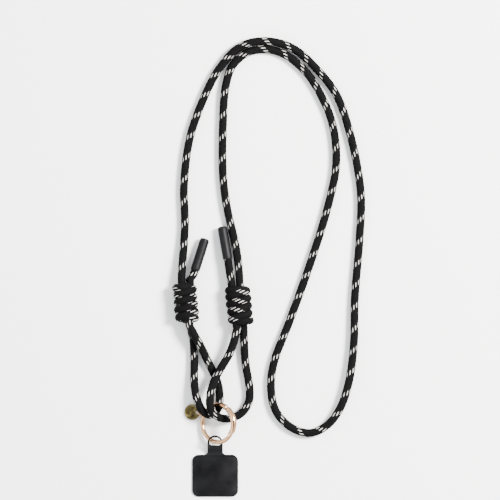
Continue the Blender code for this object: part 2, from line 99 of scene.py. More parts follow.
# Knots. A knot's phase is in rows; its spin and twist turn the braid about its rope, in radians
KNOT_LENGTH = 0.0306
KNOT_HEIGHT = 0.015
WRAP_PITCH = 0.0057
WRAP_SLOPE = 0.0003
WRAP_WOBBLE = 0.035
WOBBLES_PER_WRAP = 2.3
STEPS_PER_WRAP = 16
TUCK = 0.45
TUCK_TURNS = 0.35
KNOTS = {
    "left": {"middle": (-0.0204, 0.0443), "strands": 0.0014, "lean": 4.8, "roll": 90.0, "width": 0.0188,
             "turns": 5.4, "start": 200.0, "phase": 6, "spin": 2.2, "twist": 0.0},
    "right": {"middle": (0.0200, 0.0424), "strands": -0.0009, "lean": 6.0, "roll": -36.0, "width": 0.0200,
              "turns": 5.4, "start": 160.0, "phase": 16, "spin": 2.0, "twist": -7.0},
}

# Sleeves
SLEEVE_LENGTH = 0.025
SLEEVE_OVERHANG = 0.0008
SLEEVE_RIPPLE = 0.00005
SLEEVE_RIPPLES_PER_METRE = 420
SLEEVE_OUTSIDE = 0.0033
SLEEVES = {
    "left": {"end": (-0.0058, 0.0932, 0.0040), "towards": (-0.0143, 0.0664, 0.0062)},
    "right": {"end": (0.0070, 0.1023, 0.0040), "towards": (0.0117, 0.0754, 0.0066)},
}

# Where the rope runs, read from the photograph's lie
NECK_ROUTE = [
    (-0.0235, 0.0670, 0.0066), (-0.0217, 0.0921, 0.0034), (-0.0211, 0.1068, 0.0030),
    (-0.0219, 0.1324, 0.0030), (-0.0185, 0.1644, 0.0030), (-0.0129, 0.1845, 0.0030),
    (-0.0008, 0.2128, 0.0030),
    (0.0068, 0.2249, 0.0031), (0.0160, 0.2353, 0.0040), (0.0292, 0.2421, 0.0054),
    (0.0471, 0.2424, 0.0054), (0.0625, 0.2367, 0.0040), (0.0751, 0.2260, 0.0031),
    (0.0935, 0.2031, 0.0030), (0.1047, 0.1712, 0.0030), (0.1124, 0.1284, 0.0030),
    (0.1116, 0.0944, 0.0030), (0.1080, 0.0494, 0.0032), (0.1070, 0.0114, 0.0044),
    (0.1029, -0.0176, 0.0054), (0.0959, -0.0371, 0.0052), (0.0860, -0.0492, 0.0042),
    (0.0731, -0.0545, 0.0032), (0.0584, -0.0495, 0.0030), (0.0476, -0.0371, 0.0030),
    (0.0442, -0.0196, 0.0030), (0.0465, -0.0008, 0.0030), (0.0584, 0.0307, 0.0030),
    (0.0742, 0.0748, 0.0030), (0.0882, 0.1205, 0.0030), (0.0938, 0.1514, 0.0030),
    (0.0901, 0.1832, 0.0030), (0.0766, 0.2118, 0.0030), (0.0676, 0.2229, 0.0030),
    (0.0554, 0.2326, 0.0030), (0.0412, 0.2369, 0.0030), (0.0267, 0.2346, 0.0030),
    (0.0152, 0.2247, 0.0030), (0.0100, 0.2099, 0.0030), (0.0077, 0.1792, 0.0030),
    (0.0079, 0.1394, 0.0030), (0.0109, 0.1164, 0.0030), (0.0173, 0.0883, 0.0036),
    (0.0195, 0.0733, 0.0058),
]
LOOP_ROUTES = {
    "left": [
        (-0.0163, 0.0230, 0.0040), (-0.0147, 0.0154, 0.0035), (-0.0141, 0.0055, 0.0032),
        (-0.0140, -0.0039, 0.0034), (-0.0141, -0.0131, 0.0044), (-0.0136, -0.0204, 0.0062),
        (-0.0123, -0.0272, 0.0084), (-0.0099, -0.0337, 0.0100), (-0.0068, -0.0385, 0.0103),
        (-0.0030, -0.0405, 0.0085), (0.0008, -0.0395, 0.0057), (0.0039, -0.0360, 0.0040),
        (0.0052, -0.0299, 0.0034), (0.0050, -0.0226, 0.0030), (0.0035, -0.0158, 0.0030),
        (0.0006, -0.0087, 0.0030), (-0.0032, -0.0010, 0.0036), (-0.0071, 0.0074, 0.0060),
        (-0.0111, 0.0151, 0.0094), (-0.0150, 0.0222, 0.0107),
    ],
    "right": [
        (0.0176, 0.0214, 0.0095), (0.0159, 0.0146, 0.0093), (0.0124, 0.0053, 0.0092),
        (0.0074, -0.0032, 0.0093), (0.0024, -0.0120, 0.0097), (-0.0008, -0.0207, 0.0114),
        (-0.0022, -0.0280, 0.0136), (-0.0018, -0.0345, 0.0148), (0.0005, -0.0392, 0.0139),
        (0.0043, -0.0421, 0.0110), (0.0093, -0.0435, 0.0076), (0.0152, -0.0427, 0.0054),
        (0.0205, -0.0403, 0.0039), (0.0248, -0.0359, 0.0031), (0.0277, -0.0296, 0.0030),
        (0.0281, -0.0226, 0.0030), (0.0269, -0.0131, 0.0030), (0.0252, -0.0039, 0.0030),
        (0.0243, 0.0053, 0.0034), (0.0238, 0.0146, 0.0044), (0.0236, 0.0207, 0.0052),
    ],
}

# Gate ring
RING_BORE = 0.025
WIRE_D = 0.0033
RING_RADIUS = (RING_BORE + WIRE_D) / 2
GATE_D = 0.0044
RING_MIDDLE = (0.0040, -0.0471, 0.0103)
RING_TILT = 33.0
HINGE_ANGLE = 62.0
NOSE_ANGLE = -35.0
HOUSING_REACH = 14.0
ROOT_REACH = 3.0
WIRE_OVERLAP = 2.0
GATE_SETBACK = 10.9
LUG_SLOT = 0.0024
PIN_D = 0.0014
TONGUE_D = 0.0040
TONGUE_THICKNESS = 0.0018
TONGUE_WAIST = 0.8
TONGUE_OVERLAP = 5.0
PIN_HEAD_D = 0.0018
PIN_HEAD_THICKNESS = 0.0006
NOSE_LEAD = 14.0
DEGREES_PER_STEP = 2.5
WIRE_SIDES = 40

# Tag and its link
TAG_RADIUS = 0.0060
TAG_THICKNESS = 0.0010
TAG_HOLE_D = 0.0022
TAG_HOLE_OFFSET = 0.0037
TAG_TILT = 10.0
TAG_TURN = 171.0
LINK_ANGLE = 157.5
LINK_WIRE_D = 0.0008
LINK_HEIGHT = 0.0060
LINK_REACH = 0.0057

# Tab and pad
TAB_WIDTH = 0.0117
TAB_THICKNESS = 0.0011
TAB_STROKE = 0.0016
TAB_ROUNDING = 0.00028
TAB_TOP = -0.0560
TAB_X = 0.0018
TAB_HOLE_LENGTH = 0.0060
TAB_HOLE_ARCH = 0.8
TAB_HOLE_CORNER = 0.4
TONGUE_LENGTH = 0.0150
TAB_RISE = 0.0094
TAB_TWIST = 4.5
RISE_START = -0.0726
RISE_LENGTH = 0.0150
RISE_CUTS = 60
PAD_WIDTH = 0.035
PAD_LENGTH = 0.032
PAD_CORNER = 0.005


# Materials


class Nodes:
    """A material's node tree, built one node at a time."""

    def __init__(self, name):
        self.material = bpy.data.materials.new(name)
        self.material.use_nodes = True
        self.tree = self.material.node_tree
        self.shader = self.tree.nodes["Principled BSDF"]

    def add(self, kind, inputs=(), **settings):
        node = self.tree.nodes.new(kind)
        for key, value in settings.items():
            setattr(node, key, value)
        for key, value in dict(inputs).items():
            self.put(node.inputs[key], value)
        return node

    def put(self, socket, value):
        if isinstance(value, bpy.types.NodeSocket):
            self.tree.links.new(value, socket)
        else:
            socket.default_value = value

    def surface(self, **values):
        for key, value in values.items():
            self.put(self.shader.inputs[key.replace("_", " ")], value)
        return self.material

    def ramp(self, factor, stops):
        """A colour ramp: stops are (place, colour)."""
        node = self.add("ShaderNodeValToRGB", {"Fac": factor})
        bands = node.color_ramp.elements
        while len(bands) < len(stops):
            bands.new(0.5)
        for band, (place, colour) in zip(bands, stops):
            band.position = place
            band.color = (*colour, 1.0)
        return node.outputs["Color"]


def yarn_finish(name, dark, light, roughness):
    """Fine parallel fibres along the rope, in the rope's own map, whose unit is a centimetre."""
    n = Nodes(name)
    along = n.add("ShaderNodeUVMap", uv_map="rope").outputs["UV"]
    fibres = n.add("ShaderNodeMapping", {"Vector": along, "Scale": (90, 6, 1)}).outputs["Vector"]
    strands = n.add("ShaderNodeTexNoise", {"Vector": fibres, "Scale": 1.0, "Detail": 3.0}).outputs["Fac"]
    patches = n.add("ShaderNodeTexNoise", {"Vector": along, "Scale": 2.5, "Detail": 2.0}).outputs["Fac"]
    both = n.add("ShaderNodeMix", {"Factor": 0.35, "A": strands, "B": patches}, data_type="FLOAT")
    colour = n.ramp(both.outputs["Result"], ((0.3, dark), (0.7, light)))
    bump = n.add("ShaderNodeBump", {"Height": strands, "Strength": 0.5, "Distance": 0.00006})
    return n.surface(
        Base_Color=colour, Roughness=roughness, Normal=bump.outputs["Normal"], Specular_IOR_Level=0.05,
    )


def shrink_finish():
    """Satin black sleeve, rubbed in patches."""
    n = Nodes("heat_shrink")
    place = n.add("ShaderNodeTexCoord").outputs["Object"]
    grain = n.add("ShaderNodeTexNoise", {"Vector": place, "Scale": 900.0, "Detail": 4.0}).outputs["Fac"]
    rub = n.add("ShaderNodeTexNoise", {"Vector": place, "Scale": 160.0, "Detail": 3.0}).outputs["Fac"]
    colour = n.ramp(rub, ((0.3, (0.0020, 0.0020, 0.0024)), (0.75, (0.0050, 0.0049, 0.0055))))
    gloss = n.add("ShaderNodeMapRange", {"Value": rub, "To Min": 0.42, "To Max": 0.58}).outputs["Result"]
    bump = n.add("ShaderNodeBump", {"Height": grain, "Strength": 0.25, "Distance": 0.00005})
    return n.surface(
        Base_Color=colour, Roughness=gloss, Normal=bump.outputs["Normal"], Specular_IOR_Level=0.11,
    )


def gold_finish():
    """Polished plating with fine hairlines."""
    n = Nodes("pale_gold")
    place = n.add("ShaderNodeTexCoord").outputs["Object"]
    tone = n.add("ShaderNodeTexNoise", {"Vector": place, "Scale": 220.0, "Detail": 3.0}).outputs["Fac"]
    hairlines = n.add("ShaderNodeTexNoise", {"Vector": place, "Scale": 2600.0, "Detail": 4.0}).outputs["Fac"]
    colour = n.ramp(tone, ((0.3, (0.42, 0.23, 0.115)), (0.7, (0.56, 0.34, 0.19))))
    gloss = n.add("ShaderNodeMapRange", {"Value": hairlines, "To Min": 0.10, "To Max": 0.20})
    return n.surface(Base_Color=colour, Roughness=gloss.outputs["Result"], Metallic=1.0)


def bronze_finish():
    """Aged metal, stained dark in its hollows."""
    n = Nodes("antique_bronze")
    place = n.add("ShaderNodeTexCoord").outputs["Object"]
    stain = n.add("ShaderNodeTexNoise", {"Vector": place, "Scale": 420.0, "Detail": 5.0}).outputs["Fac"]
    dents = n.add("ShaderNodeTexNoise", {"Vector": place, "Scale": 700.0, "Detail": 2.0}).outputs["Fac"]
    stops = ((0.32, (0.020, 0.015, 0.007)), (0.55, (0.085, 0.068, 0.026)), (0.78, (0.24, 0.19, 0.08)))
    colour = n.ramp(stain, stops)
    gloss = n.add("ShaderNodeMapRange", {"Value": stain, "To Min": 0.32, "To Max": 0.55}).outputs["Result"]
    bump = n.add("ShaderNodeBump", {"Height": dents, "Strength": 0.5, "Distance": 0.00012})
    return n.surface(Base_Color=colour, Roughness=gloss, Metallic=1.0, Normal=bump.outputs["Normal"])


def tab_finish():
    """Black coated fabric with a fine pebble grain."""
    n = Nodes("black_tab")
    place = n.add("ShaderNodeTexCoord").outputs["Object"]
    pebbles = n.add("ShaderNodeTexVoronoi", {"Vector": place, "Scale": 1500.0}).outputs["Distance"]
    smears = n.add("ShaderNodeTexNoise", {"Vector": place, "Scale": 90.0, "Detail": 3.0}).outputs["Fac"]
    colour = n.ramp(smears, ((0.3, (0.0015, 0.0015, 0.0018)), (0.75, (0.0040, 0.0040, 0.0046))))
    gloss = n.add("ShaderNodeMapRange", {"Value": smears, "To Min": 0.22, "To Max": 0.38}).outputs["Result"]
    bump = n.add("ShaderNodeBump", {"Height": pebbles, "Strength": 0.18, "Distance": 0.00008})
    return n.surface(
        Base_Color=colour, Roughness=gloss, Normal=bump.outputs["Normal"], Specular_IOR_Level=0.18,
    )


BLACK_YARN = yarn_finish("black_yarn", (0.0008, 0.0008, 0.0009), (0.0036, 0.0034, 0.0036), 0.85)
WHITE_YARN = yarn_finish("white_yarn", (0.25, 0.24, 0.23), (0.52, 0.51, 0.485), 0.75)
HEAT_SHRINK = shrink_finish()
GOLD = gold_finish()
BRONZE = bronze_finish()
TAB = tab_finish()


# A piece's last steps


def finished(name, bm, materials, body, smooth_angle=40.0):
    """The finished piece, riding on its body. Its mesh holds its place, so it sits at the origin."""
    mesh = bpy.data.meshes.new(name)
    bm.to_mesh(mesh)
    bm.free()
    for material in materials:
        mesh.materials.append(material)
    mesh.shade_smooth()
    if smooth_angle:
        mesh.set_sharp_from_angle(angle=math.radians(smooth_angle))
    piece = bpy.data.objects.new(name, mesh)
    bpy.context.scene.collection.objects.link(piece)
    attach(piece, body)
    return piece


# Rope


def smooth_route(points):
    """A dense centripetal Catmull-Rom curve through the points."""
    ends = [2 * points[0] - points[1], *points, 2 * points[-1] - points[-2]]
    dense = []
    for before, start, end, after in zip(ends, ends[1:], ends[2:], ends[3:]):
        spans = [math.sqrt((q - p).length) for p, q in ((before, start), (start, end), (end, after))]
        t0, t1 = -spans[0], 0.0
        t2, t3 = spans[1], spans[1] + spans[2]
        for step in range(SAMPLES):
            t = t2 * step / SAMPLES
            a = before.lerp(start, (t - t0) / (t1 - t0))
            b = start.lerp(end, t / t2)
            c = end.lerp(after, (t - t2) / (t3 - t2))
            d = a.lerp(b, (t - t0) / (t2 - t0))
            e = b.lerp(c, t / t3)
            dense.append(d.lerp(e, t / t2))
    dense.append(points[-1].copy())
    return dense


def even_line(points):
    """The same curve in even steps, as an array of points, and its length."""
    line = np.array([tuple(p) for p in smooth_route([Vector(p) for p in points])])
    reached = np.concatenate(([0.0], np.cumsum(np.linalg.norm(np.diff(line, axis=0), axis=1))))
    count = max(8, round(reached[-1] / LINE_STEP))
    wanted = np.linspace(0.0, reached[-1], count + 1)
    return np.column_stack([np.interp(wanted, reached, line[:, axis]) for axis in range(3)]), reached[-1]


def carried_sides(line, first_side):
    """Directions across the line, carried along it without twist."""
    ahead = np.gradient(line, axis=0)
    ahead /= np.linalg.norm(ahead, axis=1)[:, None]
    side = np.empty_like(line)
    now = np.array(first_side, float)
    for number, forward in enumerate(ahead):
        now = now - forward * now.dot(forward)
        now /= np.linalg.norm(now)
        side[number] = now
    return ahead, side


def braid_sheet(length, phase):
    """A flat sheet of braid as wide as the rope is round: x across it, y along it, z the height of
    the yarns. A yarn is two columns wide, with its crest on an odd column's edge. The rows climb so
    that the rolled-up sheet joins one turn further along, and every fifth pick of every second yarn
    is the white tracer."""
    rows = math.ceil(length / ROW) + ROWS_PER_TURN + 2
    bm = bmesh.new()
    bmesh.ops.create_grid(bm, x_segments=COLUMNS, y_segments=rows, size=1.0)
    for face in bm.faces:
        middle = face.calc_center_median()
        column = int((middle.x + 1) / 2 * COLUMNS)
        row = int((middle.y + 1) / 2 * rows) + phase
        if column % 4 < 2 and row % ROWS_PER_TURN < FLECK_ROWS:
            face.material_index = 1
    for vert in bm.verts:
        column = round((vert.co.x + 1) / 2 * COLUMNS)
        row = round((vert.co.y + 1) / 2 * rows)
        pick = (row + phase) % ROWS_PER_PICK
        y = (row - ROWS_PER_TURN - 1 + ROWS_PER_TURN * column / COLUMNS) * ROW
        if column % 2:
            height = PICK_HEIGHTS[pick if column % 4 == 1 else (pick + 2) % ROWS_PER_PICK]
            shift = 0.0
        else:
            height = GROOVE
            shift = {0: -WAIST, 2: WAIST}.get(pick, 0.0) * (1 if column % 4 == 2 else -1)
            if (row + phase) % ROWS_PER_TURN <= FLECK_ROWS:
                shift = FLECK_SQUEEZE * (1 if column % 4 == 0 else -1)
        vert.co = (column * COLUMN_WIDTH + shift - LEAN * y, y, height)
    for y, way in ((0.0, -1), (length, 1)):
        bmesh.ops.bisect_plane(
            bm, geom=bm.verts[:] + bm.edges[:] + bm.faces[:], dist=ON_PLANE,
            plane_co=(0, y, 0), plane_no=(0, way, 0), clear_outer=True,
        )
    uv = bm.loops.layers.uv.new("rope")
    for face in bm.faces:
        for loop in face.loops:
            loop[uv].uv = (loop.vert.co.x * 100, loop.vert.co.y * 100)
    return bm


def rolled_rope(points, first_side=(0, 0, 1), phase=0, turn=0.0, twist=0.0):
    """Braid rolled round the smooth line through the points, with the line and its length.
    The turn is the same all along the rope; the twist grows from end to end."""
    line, length = even_line(points)
    ahead, side = carried_sides(line, first_side)
    bm = braid_sheet(length, phase)
    bm.verts.ensure_lookup_table()
    flat = np.array([tuple(v.co) for v in bm.verts])
    place = np.clip(flat[:, 1] / length, 0.0, 1.0) * (len(line) - 1)
    low = np.minimum(place.astype(int), len(line) - 2)
    share = (place - low)[:, None]

    def between(values):
        return values[low] * (1 - share) + values[low + 1] * share

    centre, forward, across = between(line), between(ahead), between(side)
    third = np.cross(forward, across)
    twisted = twist * (place / (len(line) - 1) - 0.5)
    angle = (flat[:, 0] / ROPE_RADIUS + turn + twisted)[:, None]
    out = np.cos(angle) * across + np.sin(angle) * third
    solid = centre + out * (ROPE_RADIUS + flat[:, 2])[:, None]
    for vert, spot in zip(bm.verts, solid):
        vert.co = spot
    bmesh.ops.remove_doubles(bm, verts=bm.verts[:], dist=SEAM_WELD)
    rims = [e for e in bm.edges if len(e.link_faces) == 1]
    bmesh.ops.holes_fill(bm, edges=rims, sides=0)
    bmesh.ops.recalc_face_normals(bm, faces=bm.faces[:])
    return bm, line, length


def knot_frame(side):
    """A knot's own frame: x across it, y along it."""
    x, y = KNOTS[side]["middle"]
    lean = math.radians(KNOTS[side]["lean"])
    return Matrix.Translation((x, y, KNOT_HEIGHT / 2)) @ Matrix.Rotation(lean, 4, "Z")


def knot_strand(side, end, hand):
    """A strand's points inside the knot, on the knot's face, and straight out of it."""
    roll = 0.0 if end > 0 else math.radians(KNOTS[side]["roll"])
    reach = hand * STRAND_PITCH / 2
    across, up = KNOTS[side]["strands"] + reach * math.cos(roll), reach * math.sin(roll)
    face = KNOT_LENGTH / 2 + CLEARANCE
    return [
        knot_frame(side) @ Vector((across, end * out, up))
        for out in (face - STRAND_DEPTH, face, face + LEAD)
    ]


def cord_piece(name, node, points, phase):
    """One rope of the strap, rolled round its own line."""
    bm, line, length = rolled_rope(points, phase=phase)
    piece = finished(name, bm, (BLACK_YARN, WHITE_YARN), "strap", smooth_angle=None)
    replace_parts(piece, node)


# Sleeves


def sleeve_axis(side):
    """A sleeve's outer end and its direction inwards along the rope."""
    end = Vector(SLEEVES[side]["end"])
    return end, (Vector(SLEEVES[side]["towards"]) - end).normalized()


def tail_points(side):
    """A tail's line, from inside its knot to just inside its sleeve's outer end."""
    end, inwards = sleeve_axis(side)
    hand = 1 if side == "left" else -1
    inside = [end + inwards * (SLEEVE_LENGTH * share) for share in (1.12, 0.95, 0.5)]
    return [*knot_strand(side, 1, hand), *inside, end + inwards * SLEEVE_OVERHANG]


def spun(profile, steps, closed=False):
    """A turned shape from (radius, height) points."""
    bm = bmesh.new()
    verts = [bm.verts.new((radius, 0, height)) for radius, height in profile]
    pairs = list(zip(verts, verts[1:])) + ([(verts[-1], verts[0])] if closed else [])
    edges = [bm.edges.new(pair) for pair in pairs]
    bmesh.ops.spin(
        bm, geom=verts + edges, cent=(0, 0, 0), axis=(0, 0, 1), angle=2 * math.pi, steps=steps, use_merge=True
    )
    bmesh.ops.remove_doubles(bm, verts=bm.verts[:], dist=WELD)
    bmesh.ops.recalc_face_normals(bm, faces=bm.faces[:])
    return bm


def make_sleeve(side):
    """Heat-shrink: its outer end is drawn in over the rope's cut end, its inner rim is thin. The
    profile is in millimetres, from the outer end inwards."""
    profile = [(3.02, 25.0), (3.15, 25.25), (3.38, 25.2), (3.52, 24.9), (3.62, 24.2)]
    profile += [(3.64 + 0.03 * math.sin(n * 1.9), 23.0 - n * 1.05) for n in range(20)]
    profile += [(3.64, 2.6), (3.56, 1.7), (3.38, 1.05), (3.06, 0.55), (2.62, 0.22), (2.05, 0.04)]
    profile += [(1.50, 0.0), (1.05, 0.10), (0.85, 0.30), (1.00, 0.52), (2.40, 0.62), (3.02, 1.30)]
    bm = spun([(radius * MM, height * MM) for radius, height in profile], 48, closed=True)
    for vert in bm.verts:
        out = Vector((vert.co.x, vert.co.y, 0))
        if out.length > SLEEVE_OUTSIDE:
            ripple = noise.noise(vert.co * SLEEVE_RIPPLES_PER_METRE) * SLEEVE_RIPPLE
            vert.co += out.normalized() * ripple
    end, inwards = sleeve_axis(side)
    bm.transform(Matrix.Translation(end) @ inwards.to_track_quat("Z", "Y").to_matrix().to_4x4())
    piece = finished(f"sleeve_{side}_shrunk", bm, (HEAT_SHRINK,), "strap")
    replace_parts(piece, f"sleeve_{side}")
    return piece


# Knots


def wrap_line(side):
    """The rope of a knot, wound round its strands, its two ends tucked in under itself."""
    knot = KNOTS[side]
    half_width = knot["width"] / 2 - ROPE_RADIUS
    half_height = KNOT_HEIGHT / 2 - ROPE_RADIUS
    last = KNOT_LENGTH / 2 - ROPE_RADIUS
    steps = round(knot["turns"] * STEPS_PER_WRAP)
    points = []
    for number in range(steps + 1):
        share = number / steps
        angle = 2 * math.pi * knot["turns"] * (share - 0.5) + math.radians(knot["start"])
        from_end = min(share, 1 - share) * knot["turns"]
        tuck = min(1.0, TUCK + (1 - TUCK) * from_end / TUCK_TURNS)
        along = max(-last, min(last, (share - 0.5) * knot["turns"] * WRAP_PITCH))
        wobble = 1 + WRAP_WOBBLE * math.sin(WOBBLES_PER_WRAP * angle + knot["start"])
        lean = WRAP_SLOPE * math.sin(angle)
        points.append(knot_frame(side) @ Vector((
            half_width * tuck * wobble * math.sin(angle),
            max(-last, min(last, along + lean)),
            half_height * tuck * math.cos(angle),
        )))
    return points


def make_knot(side):
    """A barrel knot: the strap's own rope, wound in wraps."""
    knot = KNOTS[side]
    bm, _, _ = rolled_rope(wrap_line(side), phase=knot["phase"], turn=knot["spin"], twist=knot["twist"])
    piece = finished(f"knot_{side}_wraps", bm, (BLACK_YARN, WHITE_YARN), "strap", smooth_angle=None)
    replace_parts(piece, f"knot_{side}")


# Gate ring, in its own frame: the ring lies in XY round the origin, z along the hinge's axis


def ring_frame():
    """From the ring's frame to the strap's."""
    return Matrix.Translation(RING_MIDDLE) @ Matrix.Rotation(math.radians(-RING_TILT), 4, "Y")


def on_ring(angle):
    """A point on the wire's middle line."""
    turn = math.radians(angle)
    return Vector((math.cos(turn), math.sin(turn), 0)) * RING_RADIUS


def shape_nose(verts, reach):
    """Slides a tube's end round the ring until it lies on a cylinder about the hinge's axis."""
    for vert in verts:
        out = math.hypot(vert.co.x, vert.co.y)
        share = (out * out + RING_RADIUS * RING_RADIUS - reach * reach) / (2 * out * RING_RADIUS)
        turn = math.radians(HINGE_ANGLE) - math.acos(share)
        vert.co.x = out * math.cos(turn)
        vert.co.y = out * math.sin(turn)


def arc_tube(diameter, start, end, reach, taper):
    """A polished wire along the ring between two angles, with softened ends. With a reach, its
    start is shaped for the nose."""
    bm = bmesh.new()
    ring = bmesh.ops.create_circle(bm, cap_ends=False, segments=WIRE_SIDES, radius=diameter / 2)["verts"]
    quarter = Matrix.Rotation(math.pi / 2, 3, "X")
    bmesh.ops.rotate(bm, verts=ring, cent=(0, 0, 0), matrix=quarter)
    bmesh.ops.translate(bm, verts=ring, vec=(RING_RADIUS, 0, 0))
    bmesh.ops.rotate(bm, verts=ring, cent=(0, 0, 0), matrix=Matrix.Rotation(math.radians(start), 3, "Z"))
    lead = math.copysign(NOSE_LEAD, end - start) if reach else 0.0
    rest = end - start - lead
    for angle, steps in ((lead, 1), (rest, max(4, round(abs(rest) / DEGREES_PER_STEP)))):
        if not angle:
            continue
        edges = [e for e in bm.edges if all(v in set(ring) for v in e.verts)]
        swept = bmesh.ops.spin(
            bm, geom=list(ring) + edges, cent=(0, 0, 0), axis=(0, 0, 1),
            angle=math.radians(angle), steps=steps,
        )
        ring = [g for g in swept["geom_last"] if isinstance(g, bmesh.types.BMVert)]
    bmesh.ops.remove_doubles(bm, verts=bm.verts[:], dist=WELD)
    if reach:
        ends = [v for v in bm.verts if abs(math.degrees(math.atan2(v.co.y, v.co.x)) - start) < 0.1]
        shape_nose(ends, reach)
    open_edges = [e for e in bm.edges if len(e.link_faces) == 1]
    caps = bmesh.ops.holes_fill(bm, edges=open_edges, sides=0)["faces"]
    rims = [e for f in caps for e in f.edges]
    bmesh.ops.bevel(
        bm, geom=rims, offset=taper, offset_type="OFFSET", segments=4, profile=0.5,
        affect="EDGES", material=-1,
    )
    bmesh.ops.recalc_face_normals(bm, faces=bm.faces[:])
    return bm


def rounded_disc(diameter, thickness, height, edge):
    """A disc at a height, its rims rounded by the edge."""
    bm = bmesh.new()
    bmesh.ops.create_cone(
        bm, cap_ends=True, segments=48, radius1=diameter / 2, radius2=diameter / 2, depth=thickness
    )
    rims = [e for e in bm.edges if abs(e.verts[0].co.z - e.verts[1].co.z) < thickness / 2]
    bmesh.ops.bevel(
        bm, geom=rims, offset=edge, offset_type="OFFSET", segments=3, profile=0.5, affect="EDGES", material=-1
    )
    bmesh.ops.translate(bm, verts=bm.verts[:], vec=(0, 0, height))
    return bm


def merged(parts):
    """All the parts in one bmesh."""
    whole = bmesh.new()
    for part in parts:
        mesh = bpy.data.meshes.new("part")
        part.to_mesh(mesh)
        part.free()
        whole.from_mesh(mesh)
        bpy.data.meshes.remove(mesh)
    return whole


def flat_bar(start, end, width, thickness, height, edge):
    """A bar with softened edges between two points of the ring's plane."""
    along = end - start
    bm = bmesh.new()
    bmesh.ops.create_cube(bm, size=1.0)
    bmesh.ops.scale(bm, verts=bm.verts[:], vec=(along.length, width, thickness))
    bmesh.ops.bevel(
        bm, geom=bm.edges[:], offset=edge, offset_type="OFFSET", segments=3, profile=0.5,
        affect="EDGES", material=-1,
    )
    bmesh.ops.rotate(
        bm, verts=bm.verts[:], cent=(0, 0, 0), matrix=Matrix.Rotation(math.atan2(along.y, along.x), 3, "Z")
    )
    middle = (start + end) / 2
    bmesh.ops.translate(bm, verts=bm.verts[:], vec=(middle.x, middle.y, height))
    return bm


def make_ring():
    """The gate ring: its wire, its slotted hinge housing with the pin, and its gate."""
    hinge = on_ring(HINGE_ANGLE)
    reach = (on_ring(NOSE_ANGLE) - hinge).length
    here = Matrix.Translation(hinge)
    housing_start = HINGE_ANGLE + HOUSING_REACH
    wire_end = housing_start - WIRE_OVERLAP - 360.0
    wire = arc_tube(WIRE_D, NOSE_ANGLE, wire_end, reach + CLEARANCE / 2, 0.0002)
    cheeks = []
    for way in (1, -1):
        arm = arc_tube(GATE_D, housing_start, HINGE_ANGLE, None, 0.0003)
        round_end = bmesh.new()
        bmesh.ops.create_uvsphere(round_end, u_segments=40, v_segments=24, radius=GATE_D / 2)
        round_end.transform(here)
        for cheek in (arm, round_end):
            bmesh.ops.bisect_plane(
                cheek, geom=cheek.verts[:] + cheek.edges[:] + cheek.faces[:], dist=ON_PLANE,
                plane_co=(0, 0, way * LUG_SLOT / 2), plane_no=(0, 0, -way), clear_outer=True,
            )
            rims = [e for e in cheek.edges if len(e.link_faces) == 1]
            bmesh.ops.holes_fill(cheek, edges=rims, sides=0)
            bmesh.ops.recalc_face_normals(cheek, faces=cheek.faces[:])
        head = rounded_disc(PIN_HEAD_D, PIN_HEAD_THICKNESS, way * (GATE_D / 2 - 0.0001), 0.00018)
        head.transform(here)
        cheeks += [arm, round_end, head]
    root = arc_tube(GATE_D, housing_start, housing_start - ROOT_REACH, None, 0.0003)
    pin = rounded_disc(PIN_D, LUG_SLOT + 0.0004, 0.0, 0.0001)
    pin.transform(here)
    for name, bm in (("ring_wire", wire), ("ring_hinge", merged([*cheeks, root, pin]))):
        bm.transform(ring_frame())
        piece = finished(name, bm, (GOLD,), "strap")
        if name == "ring_wire":
            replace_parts(piece, "ring_body")
    gate_end = HINGE_ANGLE - GATE_SETBACK
    gate = arc_tube(GATE_D, NOSE_ANGLE, gate_end, reach - CLEARANCE / 2, 0.0004)
    tongue_end = on_ring(gate_end - TONGUE_OVERLAP)
    tongue = flat_bar(hinge, tongue_end, TONGUE_D * TONGUE_WAIST, TONGUE_THICKNESS, 0.0, 0.0003)
    eye = rounded_disc(TONGUE_D, TONGUE_THICKNESS, 0.0, 0.00025)
    eye.transform(here)
    whole = merged([gate, tongue, eye])
    whole.transform(ring_frame())
    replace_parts(finished("ring_gate_wire", whole, (GOLD,), "gate"), "ring_gate")


# Tag and link


def link_frame():
    """The link's frame: x outwards from the ring, y up, its origin in the ring's wire."""
    outwards = ring_frame().to_3x3() @ on_ring(LINK_ANGLE)
    outwards.z = 0
    outwards.normalize()
    up = Vector((0, 0, 1))
    turned = Matrix((outwards, up, outwards.cross(up))).transposed().to_4x4()
    return Matrix.Translation(ring_frame() @ on_ring(LINK_ANGLE)) @ turned


